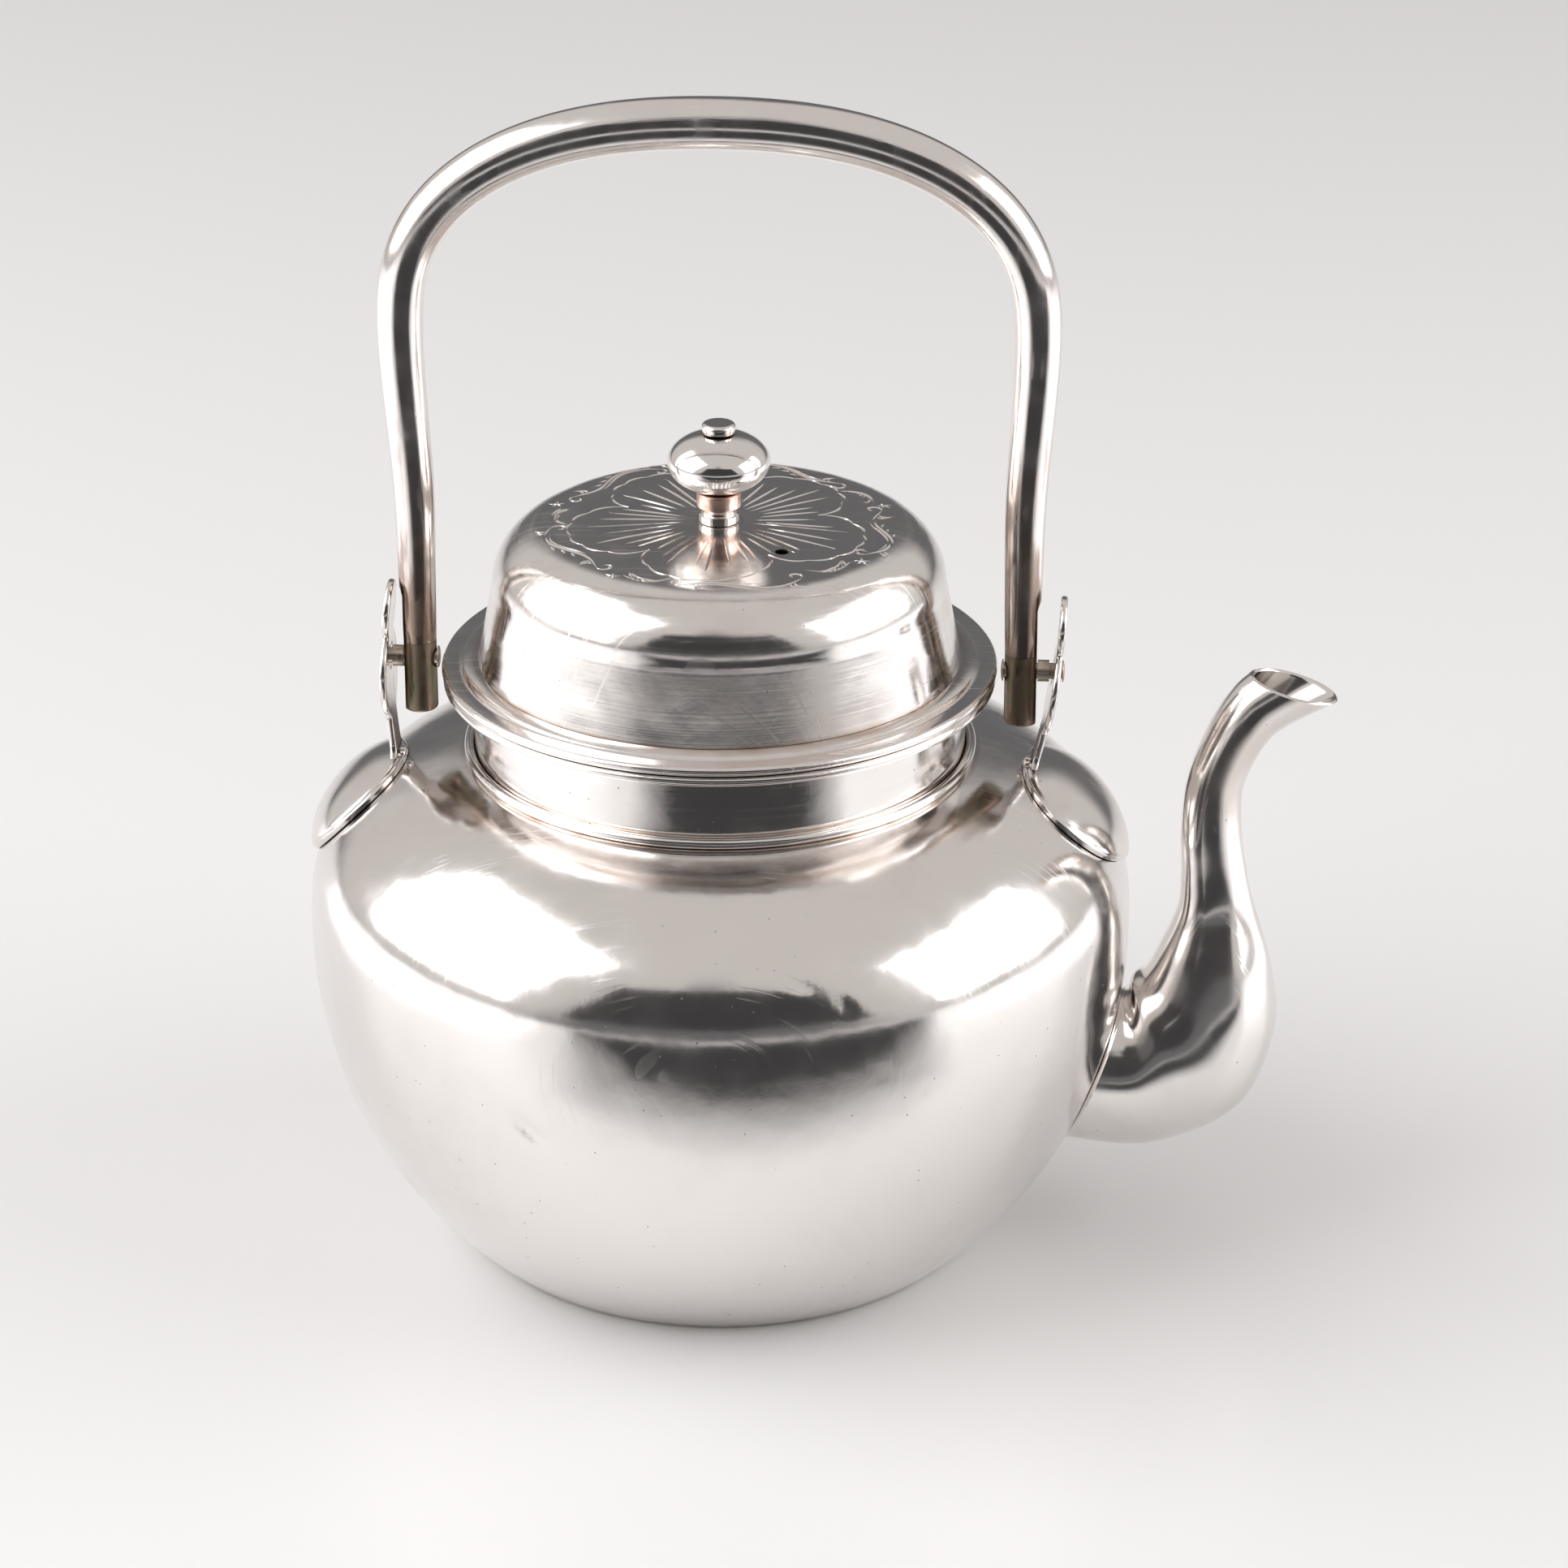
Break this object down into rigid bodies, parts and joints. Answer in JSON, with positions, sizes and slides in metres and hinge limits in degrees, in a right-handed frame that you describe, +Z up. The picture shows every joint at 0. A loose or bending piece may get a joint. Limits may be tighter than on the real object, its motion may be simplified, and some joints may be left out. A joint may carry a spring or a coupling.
{
  "type": "teapot",
  "caption": "Small round silver teapot with a swan-neck spout, a lift-off domed lid with a riveted knob, and a hinged tubular bail handle.",
  "frame": {"origin": "centre of the flat base that the pot stands on", "axes": "+Z up, +X towards the spout, the bail handle lies in the XZ plane at rest and swings about X"},
  "size_m": [0.1553, 0.125, 0.1802],
  "materials": {
    "pot_silver": "polished raised silver with fine scratches and faint planishing",
    "neck_silver": "polished, a little yellow tarnish along its seams",
    "spout_silver": "polished, warm tarnish at the root",
    "ear_silver": "polished sheet with hand-filed edges",
    "pin_metal": "dark tarnished rivet",
    "bail_silver": "polished, brown tarnish towards the lower ends",
    "tarnished_metal": "dull greenish brown tarnish",
    "lid_silver": "polished, with warm tarnish and engraved top",
    "knob_silver": "polished",
    "worn_copper": "copper showing through worn plate",
    "inner_silver": "duller inside surface"
  },
  "bodies": {
    "pot": {"body_shell": "pot_silver", "neck_collar": "neck_silver", "neck_bead": "neck_silver", "spout": "spout_silver", "ear_foot_left": "ear_silver", "ear_foot_right": "ear_silver", "ear_left": "ear_silver", "ear_right": "ear_silver", "hinge_pin_left": "pin_metal", "hinge_pin_right": "pin_metal"},
    "bail": {"bail_tube": "bail_silver", "bail_end_left": "tarnished_metal", "bail_end_right": "tarnished_metal"},
    "lid": {"lid_dome": "lid_silver", "lid_flange": "lid_silver", "lid_bezel": "inner_silver", "knob_washer": "knob_silver", "knob_sleeve": "worn_copper", "knob_ball": "knob_silver", "knob_rivet": "knob_silver", "rivet_washer": "inner_silver"}
  },
  "joints": [
    {"name": "bail_swing", "type": "hinge", "parent": "pot", "child": "bail", "pos_m": [0, 0, 0.0923], "axis": [1, 0, 0], "range_deg": [-118, 118]},
    {"name": "lid_lift", "type": "slide", "parent": "pot", "child": "lid", "axis": [0, 0, 1], "range_m": [0, 0.03]}
  ]
}
